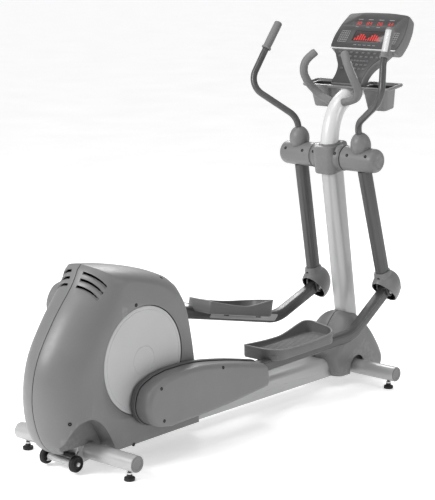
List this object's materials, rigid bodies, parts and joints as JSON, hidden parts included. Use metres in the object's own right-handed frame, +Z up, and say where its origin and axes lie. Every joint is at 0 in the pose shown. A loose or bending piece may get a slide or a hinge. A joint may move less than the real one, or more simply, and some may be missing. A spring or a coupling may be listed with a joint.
{
  "type": "elliptical trainer",
  "caption": "Rear-drive elliptical trainer with moving arms, pedal links on a crank, disc-sided drive housing, leaning mast, fixed grips, tray with bottle bins and angled console.",
  "frame": {"origin": "on the floor below the middle of the bounding box", "axes": "+X forward to the console, +Y to the user's left, +Z up"},
  "size_m": [2.1024, 0.73, 1.5822],
  "materials": {
    "casing": "fine-textured mid-grey moulded plastic",
    "dark_casing": "fine-textured darker grey moulded plastic",
    "disc": "smooth light grey satin plastic",
    "silver_paint": "silver-grey powder coat",
    "white_paint": "near-white satin paint",
    "dark_tube": "dark grey satin powder coat",
    "grip_rubber": "soft mid-grey grip rubber",
    "black_rubber": "black rubber",
    "black_plastic": "black plastic",
    "steel": "machined steel",
    "console_plastic": "dark grey console plastic"
  },
  "bodies": {
    "base": {"pivot_collar": "casing", "console_back": "casing", "accessory_tray": "casing", "drive_housing_right": "casing", "drive_housing_left": "casing", "base_shroud_right": "casing", "base_shroud_left": "casing", "generator_body": "dark_casing", "main_frame": "silver_paint", "rear_stabiliser": "silver_paint", "front_stabiliser": "silver_paint", "mast_post": "silver_paint", "wheel_bracket": "silver_paint", "mast_tube": "white_paint", "fixed_handlebar_right": "grip_rubber", "fixed_handlebar_left": "grip_rubber", "drive_belt": "black_rubber", "generator_belt": "black_rubber", "display_window": "black_plastic", "pivot_shaft": "steel", "crank_bearing_right": "steel", "crank_bearing_left": "steel", "console_face": "console_plastic", "keypad_panel": "console_plastic"},
    "crank": {"crank_axle": "steel", "drive_pulley": "black_plastic", "crank_arm_right": "steel", "crank_arm_left": "steel", "crank_disc_right": "disc", "crank_disc_left": "disc"},
    "jackshaft_body": {"jackshaft": "steel"},
    "rotor_body": {"generator_rotor": "steel"},
    "right_arm": {"pivot_hub_right": "casing", "swing_tube_right": "dark_tube", "knuckle_pin_right": "steel", "hub_bulb_right": "casing", "handlebar_right": "dark_tube", "hand_grip_right": "grip_rubber", "knuckle_hood_right": "casing"},
    "right_pedal_link": {"pedal_link_right": "dark_tube", "link_cover_inner_right": "dark_casing", "link_cover_outer_right": "casing", "pedal_right": "dark_casing"},
    "right_wheel": {"transport_wheel_right": "black_rubber"},
    "left_arm": {"pivot_hub_left": "casing", "swing_tube_left": "dark_tube", "knuckle_pin_left": "steel", "hub_bulb_left": "casing", "handlebar_left": "dark_tube", "hand_grip_left": "grip_rubber", "knuckle_hood_left": "casing"},
    "left_pedal_link": {"pedal_link_left": "dark_tube", "link_cover_inner_left": "dark_casing", "link_cover_outer_left": "casing", "pedal_left": "dark_casing"},
    "left_wheel": {"transport_wheel_left": "black_rubber"},
    "rear_right_foot": {"foot_rear_right": "black_rubber"},
    "rear_left_foot": {"foot_rear_left": "black_rubber"},
    "front_right_foot": {"foot_front_right": "black_rubber"},
    "front_left_foot": {"foot_front_left": "black_rubber"}
  },
  "joints": [
    {"name": "crank_spin", "type": "hinge", "parent": "base", "child": "crank", "pos_m": [-0.62424, 0, 0.377], "axis": [0, -1, 0], "continuous": true},
    {"name": "jackshaft_spin", "type": "hinge", "parent": "base", "child": "jackshaft_body", "pos_m": [-0.81524, 0, 0.555], "axis": [0, -1, 0], "continuous": true},
    {"name": "rotor_spin", "type": "hinge", "parent": "base", "child": "rotor_body", "pos_m": [-0.56124, 0, 0.588], "axis": [0, -1, 0], "continuous": true},
    {"name": "right_swing", "type": "hinge", "parent": "base", "child": "right_arm", "pos_m": [0.67476, 0, 0.987], "axis": [0, -1, 0], "range_deg": [-17.9, 11.3]},
    {"name": "left_swing", "type": "hinge", "parent": "base", "child": "left_arm", "pos_m": [0.67476, 0, 0.987], "axis": [0, -1, 0], "range_deg": [-11.3, 17.9]},
    {"name": "right_link_swing", "type": "hinge", "parent": "right_arm", "child": "right_pedal_link", "pos_m": [0.85765, 0, 0.39982], "axis": [0, -1, 0], "range_deg": [-10.2, 16]},
    {"name": "left_link_swing", "type": "hinge", "parent": "left_arm", "child": "left_pedal_link", "pos_m": [0.78895, 0, 0.38269], "axis": [0, -1, 0], "range_deg": [-16, 10.2]},
    {"name": "right_wheel_spin", "type": "hinge", "parent": "base", "child": "right_wheel", "pos_m": [-0.91524, -0.077, 0.038], "axis": [0, -1, 0], "continuous": true},
    {"name": "left_wheel_spin", "type": "hinge", "parent": "base", "child": "left_wheel", "pos_m": [-0.91524, 0.077, 0.038], "axis": [0, -1, 0], "continuous": true},
    {"name": "rear_right_foot_turn", "type": "hinge", "parent": "base", "child": "rear_right_foot", "pos_m": [-0.83524, -0.269, 0], "axis": [0, 0, 1], "range_deg": [-720, 720]},
    {"name": "rear_left_foot_turn", "type": "hinge", "parent": "base", "child": "rear_left_foot", "pos_m": [-0.83524, 0.269, 0], "axis": [0, 0, 1], "range_deg": [-720, 720]},
    {"name": "front_right_foot_turn", "type": "hinge", "parent": "base", "child": "front_right_foot", "pos_m": [0.74926, -0.269, 0], "axis": [0, 0, 1], "range_deg": [-720, 720]},
    {"name": "front_left_foot_turn", "type": "hinge", "parent": "base", "child": "front_left_foot", "pos_m": [0.74926, 0.269, 0], "axis": [0, 0, 1], "range_deg": [-720, 720]}
  ],
  "couplings": [
    {"joint": "jackshaft_spin", "follows": "crank_spin", "ratio": 5},
    {"joint": "rotor_spin", "follows": "crank_spin", "ratio": 19.5},
    {"joint": "left_swing", "follows": "right_swing", "ratio": -1},
    {"joint": "right_link_swing", "follows": "right_swing", "ratio": -0.89},
    {"joint": "left_link_swing", "follows": "right_swing", "ratio": 0.89}
  ]
}
